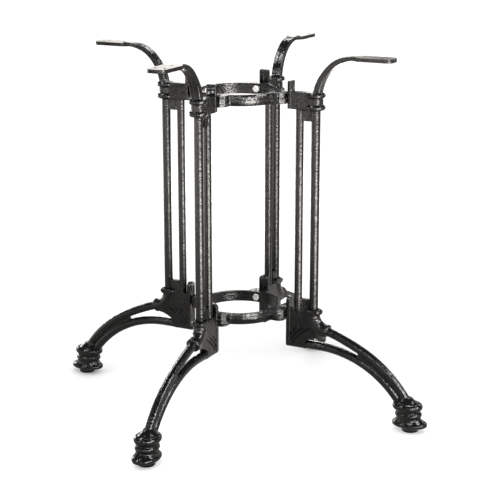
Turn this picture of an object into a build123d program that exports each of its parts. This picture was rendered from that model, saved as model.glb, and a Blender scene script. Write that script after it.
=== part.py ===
from build123d import *
import os

# Overall size: floor to the top of the screw pads
base_height = 720.0
leg_count = 4

# Rings that hold the legs together
ring_inner_radius = 75.5
ring_wall = 7.5
ring_crown = 2.5
ring_height = 21.3
upper_ring_drop = 87.2
lower_ring_level = 199.0
joint_radius = 109.0
lug_width = 41.0
lug_corner = 8.0
lug_edge = 1.6
seat_diameter = 16.0
seat_height = 4.5

# Bolts that pull each leg onto the rings
bolt_diameter = 8.0
bolt_head_width = 13.0
bolt_head_sides = 6
bolt_head_height = 5.3
bolt_head_bevel = 0.8
bolt_engagement = 16.0
bolt_point = 1.0
tapped_hole_clearance = 0.1
ring_hole_clearance = 0.5
spot_face_margin = 1.5
spot_face_depth = 1.2

# Columns and the webs that tie them
outer_column_diameter = 17.4
inner_column_diameter = 15.6
inner_column_inset = 21.8
column_spacing = 33.9
web_thickness = 10.0
upper_web_depth = 21.5
lower_web_depth = 24.0

# Blocks and the plates that face the rings
block_width = 18.0
block_edge = 1.6
knee_bottom_edge = 7.0
plate_width = 20.5
plate_edge = 1.4
upper_plate_thickness = 6.5
lower_plate_thickness = 8.0
upper_block_height = 33.5
upper_block_drop = 19.8
upper_tab_height = 20.5
upper_tab_corner = 3.0
lower_block_top = 212.0
lower_tab_height = 25.0

# Spool collar at the head of the outer column
collar_radius = 18.0
collar_neck_radius = 13.6
collar_bead_height = 11.0
collar_top_rise = 0.5

# Arm that carries the screw pad
arm_width = 20.0
arm_root_thickness = 14.0
arm_root_offset = 3.2
arm_edge = 2.4
arm_bend_rise = 45.0
arm_bend_reach = 22.3
arm_bend_thickness = 10.8
arm_bend_slope = 43.0
arm_root_slope = 80.0

# Screw pad under the table top
pad_start_radius = 240.0
pad_end_radius = 322.0
pad_width = 39.0
pad_thickness = 7.0
pad_corner = 12.0
pad_shoulder = 14.0
screw_hole_diameter = 6.5
outer_hole_inset = 21.0
outer_hole_spacing = 20.0
inner_hole_inset = 21.0

# Knee: the elbow under the outer column and its two beads
elbow_radius = 30.0
elbow_pipe_radius = 12.6
elbow_turn = 72.7
elbow_level = 207.0
bead_radius = 5.0
bead_width = 25.0
bar_bead_radius = 4.4
bar_collar_radius = 14.2
bar_collar_advance = 8.0

# Two foot bars with an open slot between them
bar_diameter = 17.2
upper_bar_first_radius = 500.0
upper_bar_first_turn = 8.8
upper_bar_end_inset = 4.4
upper_bar_end_level = 52.6
lower_bar_level = 142.4
lower_bar_straight_reach = 13.3
lower_bar_end_inset = 21.4
lower_bar_end_level = 49.8
bar_web_thickness = 9.0
slot_end_share = 0.4
slot_arc_center_reach = 25.3
slot_arc_center_level = 108.0
slot_arc_radius = 58.0

# Curved flutes on the sides of the knee
flute_radius = 1.9
flute_first_gap = 17.8
flute_pitch = 7.2
flute_count = 3
flute_start_angle = 113.5
flute_start_step = 8.2
flute_end_angle = 151.0

# Foot: a round puck under flattened mouldings, whose widths are given along
# and across the leg
foot_radius = 373.5
foot_lean = 0.155
puck_diameter = 33.4
puck_height = 12.0
puck_edge = 2.2
neck_along = 48.0
neck_across = 40.0
lower_flange_along = 71.0
lower_flange_across = 50.0
lower_flange_level = 14.5
lower_flange_height = 9.0
lower_flange_edge = 4.2
lower_skirt_top = 26.0
foot_bead_along = 53.4
foot_bead_across = 44.6
foot_bead_level = 33.5
foot_bead_height = 10.5
foot_bead_edge = 4.8
upper_flange_along = 60.4
upper_flange_across = 49.4
upper_flange_level = 49.5
upper_flange_height = 14.0
upper_flange_edge = 6.4
foot_crown_along = 26.0
foot_crown_across = 18.0
foot_crown_level = 67.0

# Places that follow from the sizes above
upper_ring_level = base_height - upper_ring_drop
ring_outer_radius = ring_inner_radius + ring_wall
inner_column_radius = joint_radius + inner_column_inset
outer_column_radius = inner_column_radius + column_spacing
upper_block_bottom = upper_ring_level - upper_block_drop
upper_block_top = upper_block_bottom + upper_block_height
lower_block_bottom = lower_bar_level - bar_diameter / 2
collar_top = upper_block_top + collar_top_rise
pad_bottom = base_height - pad_thickness
outer_hole_radius = pad_end_radius - outer_hole_inset
inner_hole_radius = pad_start_radius + inner_hole_inset
lower_bar_straight_end = outer_column_radius + lower_bar_straight_reach
slot_arc_center_radius = outer_column_radius + slot_arc_center_reach
bolt_seat_radius = ring_inner_radius + spot_face_depth

leg_plane = Plane.XZ
outer_column_axis = Axis((outer_column_radius, 0, 0), (0, 0, 1))


def on_leg(point):
    """Radius and level of a point in the leg's plane."""
    return (point.X, point.Z)


def foot_ellipse(level, along, across):
    """Flattened section of the foot at one level, centred on its leaning axis."""
    with BuildSketch(Plane.XY.offset(level)) as section:
        with Locations((foot_radius - foot_lean * level, 0)):
            Ellipse(along / 2, across / 2)
    return section.sketch


def foot_moulding(level, height, along, across, edge):
    """Flattened disc with rounded rims, centred on the given level."""
    with BuildPart() as moulding:
        extrude(foot_ellipse(level - height / 2, along, across), amount=height)
        fillet(moulding.edges().filter_by(GeomType.ELLIPSE), edge)
    return moulding.part


def face_plate(bottom, top, thickness, corner):
    """Upright plate with rounded upper corners whose inner face meets a ring seat."""
    with BuildPart() as plate:
        with BuildSketch(Plane.YZ.offset(joint_radius)) as outline:
            with Locations((0, bottom)):
                Rectangle(plate_width, top - bottom, align=(Align.CENTER, Align.MIN))
            fillet(outline.vertices().group_by(Axis.Z)[-1], corner)
        extrude(amount=thickness)
        fillet(plate.faces().sort_by(Axis.X)[-1].edges(), plate_edge)
    return plate.part


# Columns and their webs
with BuildPart() as columns:
    with BuildSketch(Plane.XY.offset(elbow_level)):
        with Locations((outer_column_radius, 0)):
            Circle(outer_column_diameter / 2)
        with Locations((inner_column_radius, 0)):
            Circle(inner_column_diameter / 2)
    extrude(amount=upper_ring_level - elbow_level)
    with BuildSketch(leg_plane):
        with Locations((inner_column_radius, upper_ring_level)):
            web_drop = upper_ring_level - upper_block_bottom + upper_web_depth
            Rectangle(column_spacing, web_drop, align=(Align.MIN, Align.MAX))
        with Locations((inner_column_radius, lower_ring_level)):
            web_rise = lower_block_top - lower_ring_level + lower_web_depth
            Rectangle(column_spacing, web_rise, align=(Align.MIN, Align.MIN))
    extrude(amount=web_thickness / 2, both=True)

# Upper block, its plate and the spool collar
with BuildPart() as upper_block:
    with BuildSketch(leg_plane):
        with Locations((joint_radius, upper_block_bottom)):
            Rectangle(outer_column_radius - joint_radius, upper_block_height, align=Align.MIN)
    extrude(amount=block_width / 2, both=True)
    fillet(upper_block.edges().filter_by(Axis.X), block_edge)

with BuildPart() as collar:
    neck = outer_column_radius + collar_neck_radius
    lip = outer_column_radius + collar_radius
    lower_lip_top = upper_block_bottom + collar_bead_height
    upper_lip_bottom = collar_top - collar_bead_height
    with BuildSketch(leg_plane):
        with BuildLine():
            Line((outer_column_radius, upper_block_bottom), (neck, upper_block_bottom))
            ThreePointArc(
                (neck, upper_block_bottom),
                (lip, (upper_block_bottom + lower_lip_top) / 2),
                (neck, lower_lip_top),
            )
            Line((neck, lower_lip_top), (neck, upper_lip_bottom))
            ThreePointArc(
                (neck, upper_lip_bottom),
                (lip, (upper_lip_bottom + collar_top) / 2),
                (neck, collar_top),
            )
            Line((neck, collar_top), (outer_column_radius, collar_top))
            Line((outer_column_radius, collar_top), (outer_column_radius, upper_block_bottom))
        make_face()
    revolve(axis=outer_column_axis)

# Arm: rises from the collar and bends out to the pad
with BuildPart() as arm:
    root_inner = outer_column_radius + arm_root_offset - arm_root_thickness / 2
    root_outer = root_inner + arm_root_thickness
    arm_end = pad_start_radius + pad_shoulder
    bend_inner = Vector(root_inner + arm_bend_reach, collar_top + arm_bend_rise)
    bend_outer = bend_inner + Vector(arm_bend_thickness, 0).rotate(Axis.Z, arm_bend_slope - 90)
    root_heading = Vector(1, 0).rotate(Axis.Z, arm_root_slope)
    with BuildSketch(leg_plane):
        with BuildLine():
            Spline(
                (root_inner, upper_block_top),
                (bend_inner.X, bend_inner.Y),
                (pad_start_radius, base_height),
                tangents=((root_heading.X, root_heading.Y), (1, 0)),
            )
            Line((pad_start_radius, base_height), (arm_end, base_height))
            Line((arm_end, base_height), (arm_end, pad_bottom))
            Spline(
                (root_outer, upper_block_top),
                (bend_outer.X, bend_outer.Y),
                (arm_end, pad_bottom),
                tangents=((root_heading.X, root_heading.Y), (1, 0)),
            )
            Line((root_outer, upper_block_top), (root_inner, upper_block_top))
        make_face()
    extrude(amount=arm_width / 2, both=True)
    fillet(arm.edges().filter_by(GeomType.BSPLINE), arm_edge)

# Screw pad with its three screw holes
with BuildPart() as pad:
    with BuildSketch(Plane.XY.offset(pad_bottom)) as pad_outline:
        with BuildLine():
            shoulder_end = pad_start_radius + pad_shoulder
            Polyline(
                (pad_start_radius, -arm_width / 2),
                (shoulder_end, -pad_width / 2),
                (pad_end_radius, -pad_width / 2),
                (pad_end_radius, pad_width / 2),
                (shoulder_end, pad_width / 2),
                (pad_start_radius, arm_width / 2),
                close=True,
            )
        make_face()
        fillet(pad_outline.vertices().group_by(Axis.X)[-1], pad_corner)
        fillet(pad_outline.vertices().group_by(Axis.X)[1], pad_corner)
        with Locations(
            (outer_hole_radius, -outer_hole_spacing / 2),
            (outer_hole_radius, outer_hole_spacing / 2),
            (inner_hole_radius, 0),
        ):
            Circle(screw_hole_diameter / 2, mode=Mode.SUBTRACT)
    extrude(amount=pad_thickness)

# Bead at the head of the elbow, flat at its sides
with BuildPart() as bead:
    with Locations((outer_column_radius, 0, lower_block_top)):
        Torus(collar_radius - bead_radius, bead_radius)
        Box(2 * collar_radius, bead_width, 2 * bead_radius, mode=Mode.INTERSECT)

# Elbow below the outer column, with a round bead at its foot
with BuildPart() as elbow:
    with BuildLine(leg_plane) as elbow_path:
        drop = Line((outer_column_radius, lower_block_top), (outer_column_radius, elbow_level))
        bend = JernArc(drop @ 1, drop % 1, elbow_radius, elbow_turn)
        run = Line(bend @ 1, bend @ 1 + (bend % 1) * bar_collar_advance)
    with BuildSketch(Plane(drop @ 0, z_dir=drop % 0)):
        Circle(elbow_pipe_radius)
    sweep(path=elbow_path.line)
    with Locations(Plane(run @ 1, z_dir=run % 1)):
        Torus(bar_collar_radius - bar_bead_radius, bar_bead_radius)
        Cylinder(bar_collar_radius - bar_bead_radius, 2 * bar_bead_radius)

# Foot bars
with BuildPart() as bars:
    with BuildLine(leg_plane) as upper_path:
        first = JernArc(run @ 1, run % 1, upper_bar_first_radius, -upper_bar_first_turn)
        upper_bar_end = (foot_radius - upper_bar_end_inset, upper_bar_end_level)
        second = TangentArc(first @ 1, upper_bar_end, tangent=first % 1)
    with BuildSketch(Plane(first @ 0, z_dir=first % 0)):
        Circle(bar_diameter / 2)
    sweep(path=upper_path.line)
    with BuildLine(leg_plane) as lower_path:
        level_run = Line(
            (inner_column_radius, lower_bar_level), (lower_bar_straight_end, lower_bar_level)
        )
        lower_bar_end = (foot_radius - lower_bar_end_inset, lower_bar_end_level)
        fall = TangentArc(level_run @ 1, lower_bar_end, tangent=level_run % 1)
    with BuildSketch(Plane(level_run @ 0, z_dir=level_run % 0)):
        Circle(bar_diameter / 2)
    sweep(path=lower_path.line)
    upper_edge = [on_leg(second @ share) for share in (0, 0.5, 1)]
    web_middle_share = (1 + slot_end_share) / 2
    lower_edge = [on_leg(fall @ share) for share in (1, web_middle_share, slot_end_share)]
    with BuildSketch(leg_plane):
        with BuildLine():
            ThreePointArc(*upper_edge)
            Line(upper_edge[-1], lower_edge[0])
            ThreePointArc(*lower_edge)
            Line(lower_edge[-1], upper_edge[0])
        make_face()
    extrude(amount=bar_web_thickness / 2, both=True)

# Knee block: flat sides, cut away round the slot and fluted beside it
with BuildPart() as knee:
    slot_floor = lower_bar_level + bar_diameter / 2
    tip_rise = slot_floor - slot_arc_center_level
    slot_tip = slot_arc_center_radius - (slot_arc_radius**2 - tip_rise**2) ** 0.5
    with BuildSketch(leg_plane) as knee_outline:
        with BuildLine():
            Polyline(
                (slot_arc_center_radius, elbow_level - elbow_radius),
                (outer_column_radius, elbow_level),
                (outer_column_radius, lower_block_top),
                (joint_radius, lower_block_top),
                (joint_radius, lower_block_bottom),
                (slot_arc_center_radius, lower_block_bottom),
                close=True,
            )
        make_face()
        with Locations((slot_arc_center_radius, slot_arc_center_level)):
            Circle(slot_arc_radius, mode=Mode.SUBTRACT)
        with Locations((joint_radius, lower_block_bottom)):
            Rectangle(slot_tip - joint_radius, bar_diameter, align=Align.MIN)
    extrude(amount=block_width / 2, both=True)
    fillet(knee.edges().filter_by(Axis.X).group_by(Axis.Z)[0], knee_bottom_edge)
    for side in (-1, 1):
        flute_center = (slot_arc_center_radius, side * block_width / 2, slot_arc_center_level)
        for index in range(flute_count):
            start_angle = flute_start_angle + index * flute_start_step
            flute_start = Vector(1, 0, 0).rotate(Axis.Y, -start_angle)
            with Locations(Plane(flute_center, x_dir=flute_start, z_dir=(0, -1, 0))):
                Torus(
                    slot_arc_radius + flute_first_gap + index * flute_pitch,
                    flute_radius,
                    major_angle=flute_end_angle - start_angle,
                    align=None,
                    mode=Mode.SUBTRACT,
                )

# Foot: round puck under a stack of flattened mouldings
with BuildPart() as foot:
    with Locations((foot_radius, 0, 0)):
        Cylinder(
            puck_diameter / 2, puck_height, align=(Align.CENTER, Align.CENTER, Align.MIN)
        )
    fillet(foot.edges().sort_by(Axis.Z)[0], puck_edge)
    extrude(
        foot_ellipse(lower_flange_level, neck_along, neck_across),
        amount=upper_flange_level - lower_flange_level,
        dir=(-foot_lean, 0, 1),
    )
    add(
        foot_moulding(
            lower_flange_level,
            lower_flange_height,
            lower_flange_along,
            lower_flange_across,
            lower_flange_edge,
        )
    )
    add(
        foot_moulding(
            foot_bead_level,
            foot_bead_height,
            foot_bead_along,
            foot_bead_across,
            foot_bead_edge,
        )
    )
    add(
        foot_moulding(
            upper_flange_level,
            upper_flange_height,
            upper_flange_along,
            upper_flange_across,
            upper_flange_edge,
        )
    )
    loft(
        (
            foot_ellipse(
                lower_flange_level,
                lower_flange_along - lower_flange_edge / 2,
                lower_flange_across - lower_flange_edge / 2,
            ),
            foot_ellipse(lower_skirt_top, neck_along, neck_across),
        )
    )
    loft(
        (
            foot_ellipse(
                upper_flange_level,
                upper_flange_along - upper_flange_edge / 2,
                upper_flange_across - upper_flange_edge / 2,
            ),
            foot_ellipse(foot_crown_level, foot_crown_along, foot_crown_across),
        )
    )

# One leg casting, tapped for a bolt at each ring
with BuildPart() as leg:
    for member in (columns, upper_block, collar, arm, pad, bead, elbow, bars, knee, foot):
        add(member.part)
    add(
        face_plate(
            upper_block_bottom,
            upper_block_top + upper_tab_height,
            upper_plate_thickness,
            upper_tab_corner,
        )
    )
    add(
        face_plate(
            lower_block_bottom,
            lower_block_top + lower_tab_height,
            lower_plate_thickness,
            plate_width / 2 - plate_edge,
        )
    )
    with BuildSketch(Plane.YZ.offset(joint_radius)):
        with Locations((0, upper_ring_level), (0, lower_ring_level)):
            Circle(bolt_diameter / 2 + tapped_hole_clearance)
    extrude(amount=bolt_engagement + bolt_point, mode=Mode.SUBTRACT)


def bolted_ring(level):
    """Ring with a lug, a seat and a bolt hole for each leg, centred on the given level."""
    bottom = level - ring_height / 2
    top = level + ring_height / 2
    with BuildPart() as ring:
        with BuildSketch(leg_plane):
            with BuildLine():
                Line((ring_inner_radius, bottom), (ring_outer_radius, bottom))
                ThreePointArc(
                    (ring_outer_radius, bottom),
                    (ring_outer_radius + ring_crown, level),
                    (ring_outer_radius, top),
                )
                Line((ring_outer_radius, top), (ring_inner_radius, top))
                Line((ring_inner_radius, top), (ring_inner_radius, bottom))
            make_face()
        revolve(axis=Axis.Z)
        lug_start = ring_inner_radius + ring_wall / 2
        lug_reach = joint_radius - seat_height - lug_start
        with BuildSketch(Plane.XY.offset(bottom)):
            with PolarLocations(lug_start, leg_count):
                Polygon(
                    (0, -lug_width / 2),
                    (lug_reach - lug_corner, -lug_width / 2),
                    (lug_reach, lug_corner - lug_width / 2),
                    (lug_reach, lug_width / 2 - lug_corner),
                    (lug_reach - lug_corner, lug_width / 2),
                    (0, lug_width / 2),
                    align=None,
                )
        extrude(amount=ring_height)
        fillet(ring.edges().filter_by(Axis.Z), lug_edge)
        outward = (Align.CENTER, Align.CENTER, Align.MIN)
        with Locations((0, 0, level)):
            with PolarLocations(lug_start, leg_count):
                Cylinder(
                    seat_diameter / 2,
                    joint_radius - lug_start,
                    rotation=(0, 90, 0),
                    align=outward,
                )
            with PolarLocations(0, leg_count):
                Cylinder(
                    bolt_diameter / 2 + ring_hole_clearance,
                    joint_radius + ring_wall,
                    rotation=(0, 90, 0),
                    align=outward,
                    mode=Mode.SUBTRACT,
                )
                Cylinder(
                    bolt_head_width / 2 + spot_face_margin,
                    bolt_seat_radius,
                    rotation=(0, 90, 0),
                    align=outward,
                    mode=Mode.SUBTRACT,
                )
    return ring.part


def ring_bolts(level):
    """Hex bolts of one ring, heads inside it and points in the legs."""
    head_start = bolt_seat_radius - bolt_head_height
    with BuildPart() as bolt:
        with BuildSketch(Plane.YZ.offset(head_start)):
            RegularPolygon(bolt_head_width / 2, bolt_head_sides, major_radius=False)
        extrude(amount=bolt_head_height)
        chamfer(bolt.faces().sort_by(Axis.X)[0].edges(), bolt_head_bevel)
        with BuildSketch(Plane.YZ.offset(bolt_seat_radius)):
            Circle(bolt_diameter / 2)
        extrude(amount=joint_radius + bolt_engagement - bolt_seat_radius)
        chamfer(bolt.faces().sort_by(Axis.X)[-1].edges(), bolt_point)
    with BuildPart() as bolts:
        with Locations((0, 0, level)):
            with PolarLocations(0, leg_count):
                add(bolt.part)
    return bolts.part


nodes = {
    "upper_ring": bolted_ring(upper_ring_level),
    "lower_ring": bolted_ring(lower_ring_level),
    "upper_ring_bolts": ring_bolts(upper_ring_level),
    "lower_ring_bolts": ring_bolts(lower_ring_level),
}
for index, side in enumerate(("right", "back", "left", "front")):
    nodes[f"leg_{side}"] = leg.part.rotate(Axis.Z, index * 360 / leg_count)

os.makedirs("parts", exist_ok=True)
for name, node in nodes.items():
    node.label = name
    export_step(node, f"parts/{name}.step")
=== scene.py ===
"""Looks of a cast iron table base: glossy black castings bolted to two rings."""

from __future__ import annotations

import logging
import math
from dataclasses import dataclass, replace
from enum import Enum

import bmesh
import bpy
from mathutils import Matrix, Vector

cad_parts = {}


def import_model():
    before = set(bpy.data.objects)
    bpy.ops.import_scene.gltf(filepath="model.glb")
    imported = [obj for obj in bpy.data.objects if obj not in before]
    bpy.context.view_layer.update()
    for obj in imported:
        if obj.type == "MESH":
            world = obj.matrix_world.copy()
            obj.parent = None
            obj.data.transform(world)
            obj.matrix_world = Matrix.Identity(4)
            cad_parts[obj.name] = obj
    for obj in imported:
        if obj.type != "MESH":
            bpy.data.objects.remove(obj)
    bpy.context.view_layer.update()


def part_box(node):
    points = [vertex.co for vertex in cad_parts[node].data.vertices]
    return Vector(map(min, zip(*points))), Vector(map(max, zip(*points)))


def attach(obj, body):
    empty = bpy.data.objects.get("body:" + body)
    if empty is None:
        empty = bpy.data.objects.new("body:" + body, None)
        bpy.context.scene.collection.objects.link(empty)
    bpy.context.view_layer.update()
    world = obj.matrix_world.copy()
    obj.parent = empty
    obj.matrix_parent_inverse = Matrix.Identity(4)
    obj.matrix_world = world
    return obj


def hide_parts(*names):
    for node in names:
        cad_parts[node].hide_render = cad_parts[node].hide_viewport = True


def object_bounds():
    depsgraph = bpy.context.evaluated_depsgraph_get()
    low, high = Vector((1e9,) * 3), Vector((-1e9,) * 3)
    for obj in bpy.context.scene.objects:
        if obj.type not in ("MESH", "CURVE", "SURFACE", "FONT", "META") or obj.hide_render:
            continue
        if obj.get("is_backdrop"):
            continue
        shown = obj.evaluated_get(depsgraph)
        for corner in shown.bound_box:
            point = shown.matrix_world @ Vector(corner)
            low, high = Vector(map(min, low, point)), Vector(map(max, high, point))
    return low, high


MM = 0.001
BODY = "root"
UP = Vector((0, 0, 1))
WHITE = (1.0, 1.0, 1.0, 1.0)
ROUND_PROFILE = 0.5

# Colour of the surroundings where the gloss shows them.
WARM_TINT = (1.0, 0.965, 0.915, 1.0)

Socket = bpy.types.NodeSocket

log = logging.getLogger("table_base")


class Slot(Enum):
    """Material slots of the record."""

    ENAMEL = "black_enamel"
    ZINC = "zinc_steel"


class Side(Enum):
    """The four legs, by the way they point."""

    RIGHT = "right"
    BACK = "back"
    LEFT = "left"
    FRONT = "front"


class Tier(Enum):
    """The two rings, by height."""

    UPPER = "upper"
    LOWER = "lower"


@dataclass
class NodeTree:
    """Thin wrapper that adds and links the nodes of one material or world.

    Args:
        tree: the node tree of the material or world.
    """

    tree: bpy.types.NodeTree

    def add(self, kind: str, **values: object) -> bpy.types.Node:
        """Add a node and set its named input sockets.

        Args:
            kind: the node's type name.
            **values: socket names, with spaces as underscores, and their values.

        Returns:
            The new node.
        """
        node = self.tree.nodes.new(kind)
        for name, value in values.items():
            node.inputs[name.replace("_", " ")].default_value = value
        return node

    def link(self, source: Socket, target: Socket) -> None:
        """Link two sockets."""
        self.tree.links.new(source, target)

    def noise(self, point: Socket, scale: float, detail: float) -> Socket:
        """Noise of one scale on a point.

        Args:
            point: the socket that carries the point.
            scale: waves in each metre.
            detail: octaves.

        Returns:
            The noise's value socket.
        """
        node = self.add("ShaderNodeTexNoise", Scale=scale, Detail=detail)
        self.link(point, node.inputs["Vector"])
        return node.outputs["Fac"]

    def remap(self, value: Socket, source: tuple, target: tuple) -> Socket:
        """Map one range of a value onto another.

        Args:
            value: the socket to map.
            source: lowest and highest value in.
            target: what they become.

        Returns:
            The mapped socket.
        """
        node = self.add("ShaderNodeMapRange")
        for name, number in zip(("From Min", "From Max", "To Min", "To Max"), (*source, *target)):
            node.inputs[name].default_value = number
        self.link(value, node.inputs["Value"])
        return node.outputs["Result"]

    def combine(self, operation: str, first: Socket, second: Socket) -> Socket:
        """Join two values by one operation.

        Args:
            operation: name of the operation.
            first: first value.
            second: second value.

        Returns:
            The result's socket.
        """
        node = self.tree.nodes.new("ShaderNodeMath")
        node.operation = operation
        self.link(first, node.inputs[0])
        self.link(second, node.inputs[1])
        return node.outputs["Value"]

    def size_of(self, value: Socket) -> Socket:
        """Size of a value without its sign.

        Args:
            value: the value's socket.

        Returns:
            The result's socket.
        """
        node = self.tree.nodes.new("ShaderNodeMath")
        node.operation = "ABSOLUTE"
        self.link(value, node.inputs[0])
        return node.outputs["Value"]

    def vector_work(self, operation: str, vector: Socket) -> bpy.types.Node:
        """Add a node that works on a vector.

        Args:
            operation: name of the operation.
            vector: the vector's socket.

        Returns:
            The new node.
        """
        node = self.tree.nodes.new("ShaderNodeVectorMath")
        node.operation = operation
        self.link(vector, node.inputs[0])
        return node

    def length_of(self, vector: Socket) -> Socket:
        """Length of a vector."""
        return self.vector_work("LENGTH", vector).outputs["Value"]

    def way_of(self, vector: Socket) -> Socket:
        """Unit vector along a vector."""
        return self.vector_work("NORMALIZE", vector).outputs["Vector"]

    def share_along(self, vector: Socket, way: Vector) -> Socket:
        """Share of a vector that lies along one way.

        Args:
            vector: the vector's socket.
            way: a unit vector.

        Returns:
            The value socket.
        """
        node = self.vector_work("DOT_PRODUCT", vector)
        node.inputs[1].default_value = way
        return node.outputs["Value"]

    def choose(self, factor: Socket, low: Socket, high: Socket) -> Socket:
        """Choose between two shaders.

        Args:
            factor: the socket that chooses.
            low: shader at 0.
            high: shader at 1.

        Returns:
            The shader socket.
        """
        node = self.add("ShaderNodeMixShader")
        self.link(factor, node.inputs["Fac"])
        self.link(low, node.inputs[1])
        self.link(high, node.inputs[2])
        return node.outputs["Shader"]

    def blend(self, factor: Socket, low: tuple, high: tuple) -> Socket:
        """Mix two colours.

        Args:
            factor: the socket that chooses between them.
            low: colour at 0.
            high: colour at 1.

        Returns:
            The colour socket.
        """
        node = self.tree.nodes.new("ShaderNodeMix")
        node.data_type = "RGBA"
        colour_inputs = [socket for socket in node.inputs if socket.type == "RGBA"]
        colour_inputs[0].default_value = (*low, 1.0)
        colour_inputs[1].default_value = (*high, 1.0)
        self.link(factor, node.inputs["Factor"])
        return next(socket for socket in node.outputs if socket.type == "RGBA")


def empty_material(name: str) -> tuple[bpy.types.Material, NodeTree]:
    """Make a material that has no nodes yet.

    Args:
        name: the material's name.

    Returns:
        The material and its nodes.
    """
    material = bpy.data.materials.new(name)
    material.use_nodes = True
    material.node_tree.nodes.clear()
    return material, NodeTree(material.node_tree)


def add_object(name: str, data: bpy.types.ID) -> bpy.types.Object:
    """Put a new object in the scene.

    Args:
        name: the object's name.
        data: its mesh, lamp or lens.

    Returns:
        The object.
    """
    item = bpy.data.objects.new(name, data)
    bpy.context.scene.collection.objects.link(item)
    return item


def add_form(name: str, form: bmesh.types.BMesh) -> bpy.types.Object:
    """Put a finished form in the scene, and free it.

    Args:
        name: name of the object and its mesh.
        form: the finished form.

    Returns:
        The object.
    """
    mesh = bpy.data.meshes.new(name)
    form.to_mesh(mesh)
    form.free()
    return add_object(name, mesh)


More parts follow.
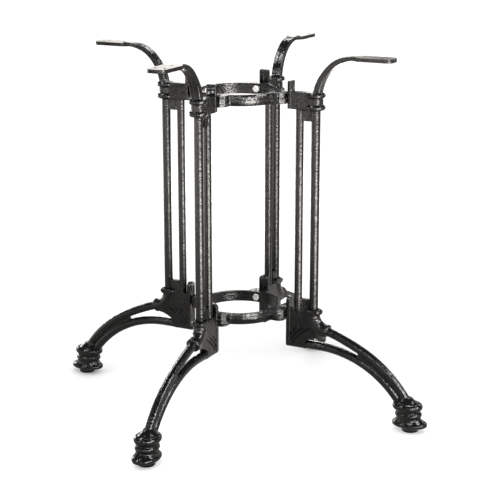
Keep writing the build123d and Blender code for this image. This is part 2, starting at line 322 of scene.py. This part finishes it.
@dataclass(frozen=True)
class Finish:
    """A surface finish: mottled colour and gloss, painted shade in grooves, rounded corners and bumps.

    Args:
        name: the material's name.
        low_colour: darker colour of the mottle.
        high_colour: lighter colour of the mottle.
        metallic: 0 for paint, 1 for bare metal.
        gloss: lowest and highest roughness.
        mottle_scale: waves of the mottle in each metre.
        peel_scale: waves of the coarse bump in each metre.
        peel_depth: depth of the coarse bump in metres.
        grain_scale: waves of the fine bump in each metre.
        grain_depth: depth of the fine bump in metres.
        rounding: radius at which sharp corners look run together, in metres.
        crevice_shade_reach: reach in metres over which grooves and inner corners get painted shade, by
            a lower specular level.
        seam_height: height of the mould's seam in metres, 0 for none.
        seam_width: half width of the seam in metres.
        seam_top: level above which there is no seam, in metres.
        ground_top: level of faces that are ground flat, in metres, 0 for none.
        ground_depth: depth below that level at which the casting's skin is whole, in metres.
        ground_share: share of the coarse bump that is left on those faces.
        mottle_detail: octaves of the mottle.
        peel_detail: octaves of the coarse bump.
        grain_detail: octaves of the fine bump.
        mottle_span: values of the mottle that get the lowest and the highest roughness.
        open_span: openness of a deep groove and of a free face, from 0 to 1.
        shine: specular level in a deep groove and on a free face; the lower level in grooves is painted
            shade.
    """

    name: str
    low_colour: tuple[float, float, float]
    high_colour: tuple[float, float, float]
    metallic: float
    gloss: tuple[float, float]
    mottle_scale: float
    peel_scale: float
    peel_depth: float
    grain_scale: float
    grain_depth: float
    rounding: float
    crevice_shade_reach: float
    seam_height: float = 0.0
    seam_width: float = 1.3 * MM
    seam_top: float = 700.0 * MM
    ground_top: float = 0.0
    ground_depth: float = 0.2 * MM
    ground_share: float = 0.2
    mottle_detail: float = 4.0
    peel_detail: float = 1.0
    grain_detail: float = 2.0
    mottle_span: tuple[float, float] = (0.3, 0.7)
    open_span: tuple[float, float] = (0.5, 0.95)
    shine: tuple[float, float] = (0.06, 0.5)

    def make(self) -> bpy.types.Material:
        """Build the finish as a node material.

        Returns:
            The material.
        """
        material, nodes = empty_material(self.name)
        point = nodes.add("ShaderNodeTexCoord").outputs["Object"]
        shader = nodes.add("ShaderNodeBsdfPrincipled", Metallic=self.metallic)
        mottle = nodes.noise(point, self.mottle_scale, self.mottle_detail)
        nodes.link(nodes.blend(mottle, self.low_colour, self.high_colour), shader.inputs["Base Color"])
        nodes.link(nodes.remap(mottle, self.mottle_span, self.gloss), shader.inputs["Roughness"])
        # Painted shade: ambient occlusion lowers the specular level in grooves and inner corners, so
        # they reflect less and look darker.
        openness = nodes.add("ShaderNodeAmbientOcclusion", Distance=self.crevice_shade_reach).outputs["AO"]
        shine = nodes.remap(openness, self.open_span, self.shine)
        nodes.link(shine, shader.inputs["Specular IOR Level"])
        nodes.link(self.relief(nodes, point), shader.inputs["Normal"])
        output = nodes.add("ShaderNodeOutputMaterial")
        nodes.link(shader.outputs["BSDF"], output.inputs["Surface"])
        return material

    def relief(self, nodes: NodeTree, point: Socket) -> Socket:
        """Round the corners, and lay the seam, the fine bump and the coarse bump over them.

        Args:
            nodes: the material's nodes.
            point: the socket that carries the place on the part.

        Returns:
            The normal socket.
        """
        normal = nodes.add("ShaderNodeBevel", Radius=self.rounding).outputs["Normal"]
        if self.seam_height > 0:
            normal = self.bump(nodes, self.seam(nodes, point), self.seam_height, normal)
        grain = nodes.noise(point, self.grain_scale, self.grain_detail)
        normal = self.bump(nodes, grain, self.grain_depth, normal)
        peel = nodes.noise(point, self.peel_scale, self.peel_detail)
        if self.ground_top > 0:
            peel = nodes.combine("MULTIPLY", peel, self.ground(nodes, point))
        return self.bump(nodes, peel, self.peel_depth, normal)

    def seam(self, nodes: NodeTree, point: Socket) -> Socket:
        """Height of the seam that the halves of the mould leave on each leg's mid plane.

        Args:
            nodes: the material's nodes.
            point: the socket that carries the place on the part.

        Returns:
            The height's socket, from 0 to 1.
        """
        split = nodes.add("ShaderNodeSeparateXYZ")
        nodes.link(point, split.inputs["Vector"])
        along, across, level = (split.outputs[axis] for axis in "XYZ")
        away = nodes.combine("MINIMUM", nodes.size_of(along), nodes.size_of(across))
        ridge = nodes.remap(away, (0.0, self.seam_width), (1.0, 0.0))
        below = nodes.remap(level, (self.seam_top - self.seam_width, self.seam_top), (1.0, 0.0))
        return nodes.combine("MULTIPLY", ridge, below)

    def ground(self, nodes: NodeTree, point: Socket) -> Socket:
        """Share of the coarse bump that is left at each level.

        Args:
            nodes: the material's nodes.
            point: the socket that carries the place on the part.

        Returns:
            The share's socket.
        """
        level = nodes.share_along(point, UP)
        skin = (self.ground_top - self.ground_depth, self.ground_top)
        return nodes.remap(level, skin, (1.0, self.ground_share))

    @staticmethod
    def bump(nodes: NodeTree, height: Socket, depth: float, under: Socket) -> Socket:
        """Add a bump of a given depth.

        Args:
            nodes: the material's nodes.
            height: the socket that carries the height, from 0 to 1.
            depth: how deep the bump is, in metres.
            under: the normal that this bump starts from.

        Returns:
            The normal socket.
        """
        node = nodes.add("ShaderNodeBump", Strength=1.0, Distance=depth)
        nodes.link(height, node.inputs["Height"])
        nodes.link(under, node.inputs["Normal"])
        return node.outputs["Normal"]


ENAMEL = Finish(
    name="black_hammered_enamel",
    low_colour=(0.003, 0.003, 0.0033),
    high_colour=(0.008, 0.008, 0.0078),
    metallic=0.0,
    gloss=(0.04, 0.09),
    mottle_scale=60.0,
    peel_scale=290.0,
    peel_depth=0.62 * MM,
    grain_scale=900.0,
    grain_depth=0.06 * MM,
    rounding=1.2 * MM,
    crevice_shade_reach=6.0 * MM,
)
LEG_ENAMEL = replace(ENAMEL, name="black_seamed_enamel", seam_height=0.5 * MM, ground_top=720.0 * MM)
ZINC = Finish(
    name="bright_zinc_plate",
    low_colour=(0.68, 0.68, 0.66),
    high_colour=(0.86, 0.86, 0.84),
    metallic=0.55,
    gloss=(0.3, 0.42),
    mottle_scale=240.0,
    peel_scale=500.0,
    peel_depth=0.05 * MM,
    grain_scale=2600.0,
    grain_depth=0.02 * MM,
    rounding=0.3 * MM,
    crevice_shade_reach=1.0 * MM,
)


@dataclass
class Casting:
    """One casting: the solid's own form, shaded as poured metal.

    Args:
        node: the solid's node.
        weld: distance at which the solid's loose corners are joined, in metres.
        crease: angle between faces, in degrees, above which an edge stays sharp.
    """

    node: str
    weld: float = 0.002 * MM
    crease: float = 35.0

    def build(self) -> bpy.types.Object:
        """Build the casting.

        Returns:
            The finished piece.
        """
        piece = self.copy_solid()
        self.shade(piece)
        return piece

    def copy_solid(self) -> bpy.types.Object:
        """Copy the solid's mesh, with its loose corners joined.

        Returns:
            The copy, linked to the scene.
        """
        form = bmesh.new()
        form.from_mesh(bpy.data.objects[self.node].data)
        bmesh.ops.remove_doubles(form, verts=form.verts, dist=self.weld)
        bmesh.ops.recalc_face_normals(form, faces=form.faces)
        for face in form.faces:
            face.smooth = True
            face.material_index = 0
        return add_form(f"{self.node}_casting", form)

    def shade(self, piece: bpy.types.Object) -> None:
        """Keep flat faces flat and round faces round.

        Args:
            piece: the copy of the solid.
        """
        piece.data.set_sharp_from_angle(angle=math.radians(self.crease))
        weighting = piece.modifiers.new("flat_faces", "WEIGHTED_NORMAL")
        weighting.keep_sharp = True
        graph = bpy.context.evaluated_depsgraph_get()
        finished = bpy.data.meshes.new_from_object(piece.evaluated_get(graph))
        piece.modifiers.clear()
        piece.data = finished
        finished.name = piece.name

    def dress(self, piece: bpy.types.Object, material: bpy.types.Material) -> None:
        """Paint the casting and tie it to the frame.

        Args:
            piece: the finished piece.
            material: its paint.
        """
        piece.data.materials.append(material)
        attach(piece, BODY)
        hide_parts(self.node)


@dataclass
class RingBolts:
    """The hex bolts of one ring.

    Args:
        tier: which ring.
        count: bolts in the ring.
        head_width: width across the head's flats, in metres.
        head_height: height of the head, in metres.
        head_sides: sides of the head.
        edge: bevel round the head, in metres.
        edge_segments: steps across the bevel.
        shank_radius: radius of the shank, in metres.
        shank_segments: sides of the shank.
    """

    tier: Tier
    count: int = 4
    head_width: float = 13.0 * MM
    head_height: float = 5.3 * MM
    head_sides: int = 6
    edge: float = 0.9 * MM
    edge_segments: int = 3
    shank_radius: float = 4.0 * MM
    shank_segments: int = 32

    @property
    def node(self) -> str:
        """Name of the solids that these bolts stand for."""
        return f"{self.tier.value}_ring_bolts"

    def head_start(self) -> float:
        """Distance of the heads' inner ends from the middle of the ring."""
        places = [spot.co for spot in bpy.data.objects[self.node].data.vertices]
        return min(math.hypot(co.x, co.y) for co in places if abs(co.y) < self.head_width / 2)

    def build(self) -> bpy.types.Object:
        """Build the bolts of the ring.

        Returns:
            The finished piece.
        """
        low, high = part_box(self.node)
        level = (low.z + high.z) / 2
        form = bmesh.new()
        seat = self.head_start() + self.head_height
        self.add_head(form, seat)
        self.add_shank(form, seat, high.x)
        turn = Matrix.Rotation(math.pi / 2, 4, "Y")
        bmesh.ops.transform(form, matrix=Matrix.Translation((0, 0, level)) @ turn, verts=form.verts)
        self.repeat(form)
        bmesh.ops.recalc_face_normals(form, faces=form.faces)
        return add_form(f"{self.tier.value}_zinc_bolts", form)

    def add_head(self, form: bmesh.types.BMesh, seat: float) -> None:
        """Make a head that stands below its seat, on the upright axis.

        Args:
            form: the mesh to add to.
            seat: level of the seat.
        """
        corner_radius = self.head_width / 2 / math.cos(math.pi / self.head_sides)
        base = bmesh.ops.create_circle(
            form, cap_ends=True, segments=self.head_sides, radius=corner_radius
        )["verts"]
        bmesh.ops.translate(form, verts=base, vec=seat * UP)
        face = next(face for face in form.faces if set(face.verts) == set(base))
        raised = bmesh.ops.extrude_face_region(form, geom=[face])["geom"]
        end = [item for item in raised if isinstance(item, bmesh.types.BMVert)]
        bmesh.ops.translate(form, verts=end, vec=-self.head_height * UP)
        rim = [edge for edge in form.edges if edge.verts[0] in end or edge.verts[1] in end]
        bmesh.ops.bevel(
            form,
            geom=rim,
            offset=self.edge,
            offset_type="OFFSET",
            affect="EDGES",
            segments=self.edge_segments,
            profile=ROUND_PROFILE,
            material=-1,
            clamp_overlap=True,
        )

    def add_shank(self, form: bmesh.types.BMesh, seat: float, tip: float) -> None:
        """Make a shank on the upright axis.

        Args:
            form: the mesh to add to.
            seat: level of the head's seat, where the shank starts.
            tip: level of the shank's end.
        """
        shank = bmesh.ops.create_cone(
            form,
            cap_ends=True,
            segments=self.shank_segments,
            radius1=self.shank_radius,
            radius2=self.shank_radius,
            depth=tip - seat,
        )["verts"]
        bmesh.ops.translate(form, verts=shank, vec=(tip + seat) / 2 * UP)

    def repeat(self, form: bmesh.types.BMesh) -> None:
        """Set the other bolts round the ring.

        Args:
            form: the mesh that holds the first bolt.
        """
        first = list(form.verts) + list(form.edges) + list(form.faces)
        for index in range(1, self.count):
            twin = bmesh.ops.duplicate(form, geom=first)["geom"]
            spots = [item for item in twin if isinstance(item, bmesh.types.BMVert)]
            angle = 2 * math.pi * index / self.count
            bmesh.ops.rotate(form, verts=spots, cent=(0, 0, 0), matrix=Matrix.Rotation(angle, 3, "Z"))

    def dress(self, piece: bpy.types.Object, material: bpy.types.Material) -> None:
        """Plate the bolts and tie them to the frame.

        Args:
            piece: the finished piece.
            material: its plating.
        """
        piece.data.materials.append(material)
        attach(piece, BODY)
        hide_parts(self.node)


@dataclass(frozen=True)
class Viewpoint:
    """The camera, where the photograph was taken from.

    Args:
        heading: turn of the camera about the upright axis, in degrees from looking along +Y.
        pitch: how far the camera looks down, in degrees.
        spot: where the camera stands, in metres.
        focal: focal length in image pixels.
        image: side of the image in pixels.
        sensor: width of the sensor in millimetres.
        sight: how far it sees, in metres.
    """

    heading: float = 26.93
    pitch: float = 15.15
    spot: tuple[float, float, float] = (1.2598, -2.4333, 1.0598)
    focal: float = 1415.2
    image: float = 500.0
    sensor: float = 36.0
    sight: float = 120.0

    def direction(self, azimuth: float, elevation: float = 0.0) -> Vector:
        """Direction towards a place round the object.

        Args:
            azimuth: degrees to the right of the camera, seen from the object.
            elevation: degrees above the floor.

        Returns:
            A unit vector.
        """
        turn = math.radians(self.heading + azimuth)
        rise = math.radians(elevation)
        level = math.cos(rise)
        return Vector((math.sin(turn) * level, -math.cos(turn) * level, math.sin(rise)))

    def build(self) -> None:
        """Stand the camera there."""
        lens = bpy.data.cameras.new("camera")
        lens.sensor_width = self.sensor
        lens.lens = self.focal / self.image * self.sensor
        lens.clip_end = self.sight
        camera = add_object("camera", lens)
        camera.location = self.spot
        camera.rotation_euler = (math.radians(90 - self.pitch), 0, math.radians(self.heading))
        bpy.context.scene.camera = camera


@dataclass(frozen=True)
class SoftBox:
    """A soft box that faces the object and shows in its gloss only.

    Args:
        name: its name.
        azimuth: degrees to the right of the camera, seen from the object.
        elevation: degrees above the floor, seen from the middle of the object.
        distance: metres from the middle of the object.
        width: metres.
        height: metres.
        radiance: brightness of its face, on the scale of the surroundings.
    """

    name: str
    azimuth: float
    elevation: float
    distance: float
    width: float
    height: float
    radiance: float

    def build(self, view: Viewpoint, middle: Vector) -> None:
        """Hang the box.

        Args:
            view: the camera that the azimuth is counted from.
            middle: middle of the object.
        """
        lamp = bpy.data.lights.new(self.name, "AREA")
        lamp.shape = "RECTANGLE"
        lamp.size = self.width
        lamp.size_y = self.height
        lamp.energy = self.radiance * math.pi * self.width * self.height
        aim = view.direction(self.azimuth, self.elevation)
        box = add_object(self.name, lamp)
        box.location = middle + aim * self.distance
        box.rotation_euler = aim.to_track_quat("Z", "Y").to_euler()
        box.visible_diffuse = False
        box.visible_camera = False


@dataclass(frozen=True)
class PaleFloor:
    """The white floor, which the gloss of the castings shows as darker near them.

    Azimuths are degrees to the right of the camera, and distances are metres from the upright axis. A
    spread is two cosines of the angle to an azimuth, and the change between them is even.

    Args:
        size: side of the floor in metres.
        colour: its colour.
        roughness: its roughness.
        shine: its specular level under the object.
        shine_end: distances between which that level falls to nothing.
        lift: brightness that the camera sees added before the object.
        lift_start: distances towards the camera between which that comes in.
        near_front: distance and brightness of the darker floor that the gloss shows near the object.
        far_front: distance and brightness of the lighter floor that it shows further off.
        dim_azimuth: middle of the dim part at the left, which is only far off.
        dim_spread: spread over which the floor becomes dim there.
        dim_start: distances between which it becomes dim.
        dim_share: share of the brightness that is left there.
        near_back: as near_front, for the floor at the right and back.
        far_back: as far_front, for the floor at the right and back.
        back_azimuth: middle of the floor at the right and back.
        back_spread: spread over which the front's floor gives way to it.
        pools: azimuths of pools of light on the floor, and what they add to it in the gloss.
        pool_spread: spread over which a pool becomes bright.
        pool_start: distances between which the pools begin.
        pool_end: distances between which they end.
    """

    size: float = 60.0
    colour: tuple[float, float, float] = (0.97, 0.97, 0.97)
    roughness: float = 0.3
    shine: float = 0.4
    shine_end: tuple[float, float] = (0.42, 0.6)
    lift: float = 0.35
    lift_start: tuple[float, float] = (-0.3, 0.1)
    near_front: tuple[float, float] = (0.9, 0.36)
    far_front: tuple[float, float] = (3.0, 2.4)
    dim_azimuth: float = -70.0
    dim_spread: tuple[float, float] = (0.9, 0.97)
    dim_start: tuple[float, float] = (2.8, 3.6)
    dim_share: float = 0.04
    near_back: tuple[float, float] = (1.0, 0.75)
    far_back: tuple[float, float] = (3.2, 0.35)
    back_azimuth: float = 120.0
    back_spread: tuple[float, float] = (0.0, 0.9)
    pools: tuple[tuple[float, float], ...] = ((32.0, 22.0), (180.0, 9.0))
    pool_spread: tuple[float, float] = (0.92, 0.98)
    pool_start: tuple[float, float] = (0.7, 1.6)
    pool_end: tuple[float, float] = (2.2, 3.2)

    def build(self, view: Viewpoint) -> None:
        """Lay the floor.

        Args:
            view: the camera that azimuths are counted from.
        """
        form = bmesh.new()
        bmesh.ops.create_grid(form, x_segments=1, y_segments=1, size=self.size / 2)
        floor = add_form("floor", form)
        floor.data.materials.append(self.material(view))
        floor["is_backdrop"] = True

    def material(self, view: Viewpoint) -> bpy.types.Material:
        """Paint the floor white for the camera, and in uneven light for the gloss.

        Args:
            view: the camera that azimuths are counted from.

        Returns:
            The material.
        """
        material, nodes = empty_material("pale_floor")
        material.cycles.emission_sampling = "NONE"
        place = nodes.add("ShaderNodeTexCoord").outputs["Object"]
        far = nodes.length_of(place)
        shader = nodes.add(
            "ShaderNodeBsdfPrincipled",
            Base_Color=(*self.colour, 1.0),
            Roughness=self.roughness,
            Emission_Color=WHITE,
        )
        before = nodes.share_along(place, view.direction(0.0))
        lift = nodes.remap(before, self.lift_start, (0.0, self.lift))
        nodes.link(lift, shader.inputs["Emission Strength"])
        shine = nodes.remap(far, self.shine_end, (self.shine, 0.0))
        nodes.link(shine, shader.inputs["Specular IOR Level"])
        mirrored = nodes.add("ShaderNodeEmission", Color=WARM_TINT)
        way = nodes.way_of(place)
        front = self.front_tone(nodes, far, way, view)
        back = self.back_tone(nodes, far, way, view)
        tone = self.add_pools(nodes, nodes.combine("ADD", front, back), far, way, view)
        nodes.link(tone, mirrored.inputs["Strength"])
        seen = nodes.add("ShaderNodeLightPath").outputs["Is Camera Ray"]
        surface = nodes.choose(seen, mirrored.outputs["Emission"], shader.outputs["BSDF"])
        output = nodes.add("ShaderNodeOutputMaterial")
        nodes.link(surface, output.inputs["Surface"])
        return material

    def front_tone(self, nodes: NodeTree, far: Socket, way: Socket, view: Viewpoint) -> Socket:
        """Brightness of the floor at the front and left, in the gloss.

        Args:
            nodes: the material's nodes.
            far: the socket that carries the distance.
            way: the socket that carries the direction.
            view: the camera that azimuths are counted from.

        Returns:
            The brightness socket.
        """
        tone = nodes.remap(far, *zip(self.near_front, self.far_front))
        left = nodes.share_along(way, view.direction(self.dim_azimuth))
        far_left = nodes.combine(
            "MULTIPLY",
            nodes.remap(left, self.dim_spread, (0.0, 1.0)),
            nodes.remap(far, self.dim_start, (0.0, 1.0)),
        )
        tone = nodes.combine("MULTIPLY", tone, nodes.remap(far_left, (0.0, 1.0), (1.0, self.dim_share)))
        right_back = nodes.share_along(way, view.direction(self.back_azimuth))
        return nodes.combine("MULTIPLY", tone, nodes.remap(right_back, self.back_spread, (1.0, 0.0)))

    def back_tone(self, nodes: NodeTree, far: Socket, way: Socket, view: Viewpoint) -> Socket:
        """Brightness of the floor at the right and back, in the gloss.

        Args:
            nodes: the material's nodes.
            far: the socket that carries the distance.
            way: the socket that carries the direction.
            view: the camera that azimuths are counted from.

        Returns:
            The brightness socket.
        """
        tone = nodes.remap(far, *zip(self.near_back, self.far_back))
        right_back = nodes.share_along(way, view.direction(self.back_azimuth))
        return nodes.combine("MULTIPLY", tone, nodes.remap(right_back, self.back_spread, (0.0, 1.0)))

    def add_pools(
        self, nodes: NodeTree, tone: Socket, far: Socket, way: Socket, view: Viewpoint
    ) -> Socket:
        """Add the pools of light to the floor's brightness in the gloss.

        Args:
            nodes: the material's nodes.
            tone: the socket that carries the brightness so far.
            far: the socket that carries the distance.
            way: the socket that carries the direction.
            view: the camera that azimuths are counted from.

        Returns:
            The brightness socket.
        """
        begun = nodes.remap(far, self.pool_start, (0.0, 1.0))
        not_ended = nodes.remap(far, self.pool_end, (1.0, 0.0))
        band = nodes.combine("MULTIPLY", begun, not_ended)
        for azimuth, brightness in self.pools:
            facing = nodes.share_along(way, view.direction(azimuth))
            beam = nodes.remap(facing, self.pool_spread, (0.0, brightness))
            tone = nodes.combine("ADD", tone, nodes.combine("MULTIPLY", beam, band))
        return tone


@dataclass(frozen=True)
class Surroundings:
    """Even light for the floor, and for the gloss a dim ceiling, pale walls and a bright back.

    A turn is two cosines of the angle to the camera, a side step two sines of the angle to the right of
    it, and a rise two sines of the elevation. The change between the two is even.

    Args:
        white: brightness that lights the floor.
        ceiling: brightness overhead, in the gloss.
        front_wall: brightness behind the camera, in the gloss.
        side_wall: brightness at the sides, in the gloss.
        back_wall: brightness at the back, in the gloss.
        back_glow: brightness that the middle of the back wall adds, in the gloss.
        wall_top: rise over which the walls give way to the ceiling.
        front_turn: turn from the sides to the front wall.
        back_turn: turn from the back wall to the sides.
        glow_turn: turn over which the glow ends.
        glow_left: side step over which the glow becomes whole, from its left.
        glow_left_share: share of the glow that is left beyond that.
        glow_right: side step over which the glow ends at its right.
    """

    white: float = 1.25
    ceiling: float = 0.12
    front_wall: float = 0.5
    side_wall: float = 1.2
    back_wall: float = 0.6
    back_glow: float = 1.55
    wall_top: tuple[float, float] = (0.16, 0.3)
    front_turn: tuple[float, float] = (0.0, 0.8)
    back_turn: tuple[float, float] = (-0.7, -0.2)
    glow_turn: tuple[float, float] = (-0.88, -0.75)
    glow_left: tuple[float, float] = (-0.12, -0.04)
    glow_left_share: float = 0.4
    glow_right: tuple[float, float] = (0.05, 0.085)

    def build(self, view: Viewpoint) -> None:
        """Light the scene.

        Args:
            view: the camera that angles are counted from.
        """
        world = bpy.data.worlds.new("studio")
        bpy.context.scene.world = world
        world.use_nodes = True
        world.node_tree.nodes.clear()
        nodes = NodeTree(world.node_tree)
        reflected = nodes.add("ShaderNodeBackground", Color=WARM_TINT)
        nodes.link(self.mirrored_tone(nodes, view), reflected.inputs["Strength"])
        plain = nodes.add("ShaderNodeBackground", Color=WHITE, Strength=self.white)
        glossy = nodes.add("ShaderNodeLightPath").outputs["Is Glossy Ray"]
        surface = nodes.choose(glossy, plain.outputs["Background"], reflected.outputs["Background"])
        output = nodes.add("ShaderNodeOutputWorld")
        nodes.link(surface, output.inputs["Surface"])

    def mirrored_tone(self, nodes: NodeTree, view: Viewpoint) -> Socket:
        """Brightness of the ceiling and the walls, in the gloss.

        Args:
            nodes: the world's nodes.
            view: the camera that angles are counted from.

        Returns:
            The brightness socket.
        """
        way = nodes.add("ShaderNodeTexCoord").outputs["Generated"]
        ahead = nodes.share_along(way, view.direction(0.0))
        rise = nodes.share_along(way, UP)
        low = nodes.remap(rise, self.wall_top, (1.0, 0.0))
        high = nodes.remap(rise, self.wall_top, (0.0, self.ceiling))
        front = nodes.remap(ahead, self.front_turn, (0.0, self.front_wall - self.side_wall))
        back = nodes.remap(ahead, self.back_turn, (self.back_wall, self.side_wall))
        behind = nodes.remap(ahead, self.glow_turn, (self.back_glow, 0.0))
        aside = nodes.share_along(way, view.direction(90.0))
        glow = nodes.combine("MULTIPLY", behind, self.glow_part(nodes, aside))
        wall = nodes.combine("ADD", nodes.combine("ADD", front, back), glow)
        return nodes.combine("ADD", nodes.combine("MULTIPLY", wall, low), high)

    def glow_part(self, nodes: NodeTree, aside: Socket) -> Socket:
        """Share of the glow at each side step.

        Args:
            nodes: the world's nodes.
            aside: the socket that carries the side step.

        Returns:
            The share's socket.
        """
        left_part = nodes.remap(aside, self.glow_left, (self.glow_left_share, 1.0))
        right_part = nodes.remap(aside, self.glow_right, (1.0, 0.0))
        return nodes.combine("MULTIPLY", left_part, right_part)


@dataclass
class Studio:
    """White studio: camera, floor, surrounding light and soft boxes.

    Args:
        view: the camera.
        floor: the floor.
        surroundings: the surrounding light.
        boxes: the soft boxes.
    """

    view: Viewpoint = Viewpoint()
    floor: PaleFloor = PaleFloor()
    surroundings: Surroundings = Surroundings()
    # Each has its name, azimuth, elevation, distance, width, height and radiance.
    boxes: tuple[SoftBox, ...] = (
        SoftBox("key_box", 32.0, 15.0, 2.4, 1.3, 0.6, 20.0),
        SoftBox("fill_box", -86.0, 57.0, 2.8, 0.7, 0.6, 18.0),
        SoftBox("side_box", 64.0, 32.0, 2.8, 0.9, 0.9, 15.0),
        SoftBox("low_box", -57.0, 23.7, 2.3, 0.7, 0.6, 6.0),
        SoftBox("back_box", 145.0, 25.0, 2.8, 0.3, 0.25, 14.0),
        SoftBox("front_box", -6.0, 27.0, 3.0, 1.2, 0.5, 8.0),
        SoftBox("back_left_box", -142.0, 8.0, 2.6, 0.8, 0.7, 12.0),
        SoftBox("back_right_box", 168.0, 46.0, 2.6, 1.0, 0.6, 12.0),
    )

    def build(self) -> None:
        """Set up the whole studio."""
        self.floor.build(self.view)
        self.surroundings.build(self.view)
        low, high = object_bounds()
        for box in self.boxes:
            box.build(self.view, (low + high) / 2)
        self.view.build()
        bpy.context.scene.view_settings.view_transform = "Standard"


def main() -> None:
    """Build the castings, the bolts and the studio."""
    logging.basicConfig(level=logging.INFO, format="%(name)s: %(message)s")
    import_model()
    leg_enamel = LEG_ENAMEL.make()
    ring_enamel = ENAMEL.make()
    zinc = ZINC.make()
    painted = [(Casting(f"leg_{side.value}"), leg_enamel) for side in Side]
    for tier in Tier:
        painted += [(Casting(f"{tier.value}_ring"), ring_enamel), (RingBolts(tier), zinc)]
    for assembly, material in painted:
        piece = assembly.build()
        assembly.dress(piece, material)
        log.info("%s in %s, %d faces", piece.name, material.name, len(piece.data.polygons))
    Studio().build()


if __name__ == "__main__":
    main()
